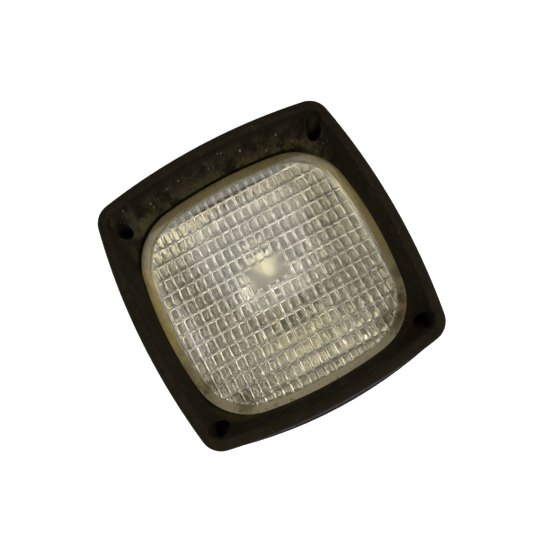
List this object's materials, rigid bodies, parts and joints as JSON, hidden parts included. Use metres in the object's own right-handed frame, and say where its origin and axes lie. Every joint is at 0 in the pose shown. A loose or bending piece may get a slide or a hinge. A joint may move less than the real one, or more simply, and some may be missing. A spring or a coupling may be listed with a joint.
{
  "type": "tractor work light",
  "caption": "Square flush-mounted work light: deep dished black bezel with bowed sides, fluted glass lens, halogen bulb, rear turret with a quarter-turn cap",
  "frame": {"origin": "middle of the box's underside: on the beam axis of the lamp's face, at the end of the rear turret", "axes": "+Z is the beam axis, out of the lens; +Y is the top of the lamp; +X is its right-hand side seen from the front"},
  "size_m": [0.1488, 0.1548, 0.127],
  "materials": {
    "bezel_plastic": "black moulded plastic, dusty",
    "black_rubber": "matt",
    "lens_glass": "pressed, fluted on the inside",
    "sealant": "cream, matt",
    "reflector_metal": "bright, slightly tarnished",
    "plated_steel": "yellow-passivated",
    "bulb_glass": "clear",
    "filament": "tungsten grey",
    "bulb_metal": "nickel plated",
    "spring_steel": "bright wire",
    "pale_insulation": "silicone sleeve",
    "terminal_brass": "tinned brass",
    "brown_insulation": "matt",
    "insert_plastic": "natural",
    "contact_brass": "bright",
    "housing_plastic": "black moulded plastic",
    "foam": "closed-cell foam",
    "zinc_steel": "zinc plated",
    "cap_plastic": "black moulded plastic",
    "red_rubber": "silicone",
    "gasket_rubber": "black, matt",
    "dark_steel": "blackened, rusty",
    "washer_steel": "plain steel",
    "retainer_steel": "plain steel"
  },
  "bodies": {
    "lamp": {"bezel": "bezel_plastic", "lens_seal": "black_rubber", "lens": "lens_glass", "lens_sealant": "sealant", "reflector": "reflector_metal", "bulb_seat_ring": "plated_steel", "bulb_glass": "bulb_glass", "bulb_filament": "filament", "bulb_base": "bulb_metal", "bulb_lead": "pale_insulation", "lead_terminal": "terminal_brass", "earth_lead": "brown_insulation", "earth_terminals": "terminal_brass", "socket_insert": "insert_plastic", "live_contact": "contact_brass", "earth_contact": "contact_brass", "housing": "housing_plastic", "optic_cushion": "foam", "housing_screws": "zinc_steel", "panel_gasket": "gasket_rubber", "corner_screws": "dark_steel", "spring_washers": "washer_steel", "screw_retainers": "retainer_steel", "breather": "black_rubber"},
    "clip": {"bulb_clip": "spring_steel"},
    "cap": {"rear_cap": "cap_plastic", "cap_seal": "red_rubber"}
  },
  "joints": [
    {"name": "clip_swing", "type": "hinge", "parent": "lamp", "child": "clip", "pos_m": [0, -0.016, 0.03066], "axis": [1, 0, 0], "range_deg": [-45, 0]},
    {"name": "cap_turn", "type": "hinge", "parent": "lamp", "child": "cap", "pos_m": [0, 0, 0.004], "axis": [0, 0, 1], "range_deg": [-60, 0]}
  ]
}
